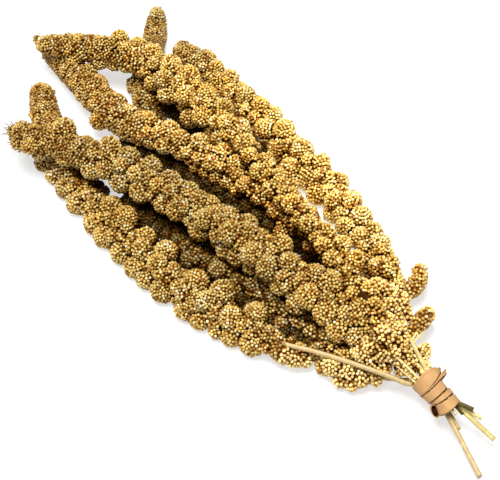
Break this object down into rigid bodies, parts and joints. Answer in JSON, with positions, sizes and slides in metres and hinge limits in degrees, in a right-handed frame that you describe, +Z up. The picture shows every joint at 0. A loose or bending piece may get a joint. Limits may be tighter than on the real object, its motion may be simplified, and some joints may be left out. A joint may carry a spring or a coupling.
{
  "type": "millet seed head bunch",
  "caption": "Tied bunch of dried foxtail millet seed heads lying on a surface: curved golden heads covered in round seed lobes, straw stems held by a wound tan rubber band.",
  "frame": {"origin": "on the surface that the bunch lies on, below the middle of its bounding box", "axes": "+X along the bunch towards the cut stem ends, the seed heads fan out towards -X, +Z up from the surface"},
  "size_m": [0.3344, 0.127, 0.031],
  "materials": {
    "seed_head": "dry husked seeds, satin, ochre to gold with dark brown gaps",
    "straw_stem": "dry straw, pale, satin with long fibres",
    "rubber_band": "matte tan"
  },
  "bodies": {
    "root": {"seed_head_outer_right": "seed_head", "seed_head_top_long": "seed_head", "seed_head_top_middle": "seed_head", "seed_head_front": "seed_head", "seed_head_outer_left": "seed_head", "seed_head_under_right": "seed_head", "seed_head_under_left": "seed_head", "stem_outer_right": "straw_stem", "stem_top_long": "straw_stem", "stem_top_middle": "straw_stem", "stem_front": "straw_stem", "stem_outer_left": "straw_stem", "stem_under_right": "straw_stem", "stem_under_left": "straw_stem", "rubber_band": "rubber_band"}
  },
  "joints": []
}
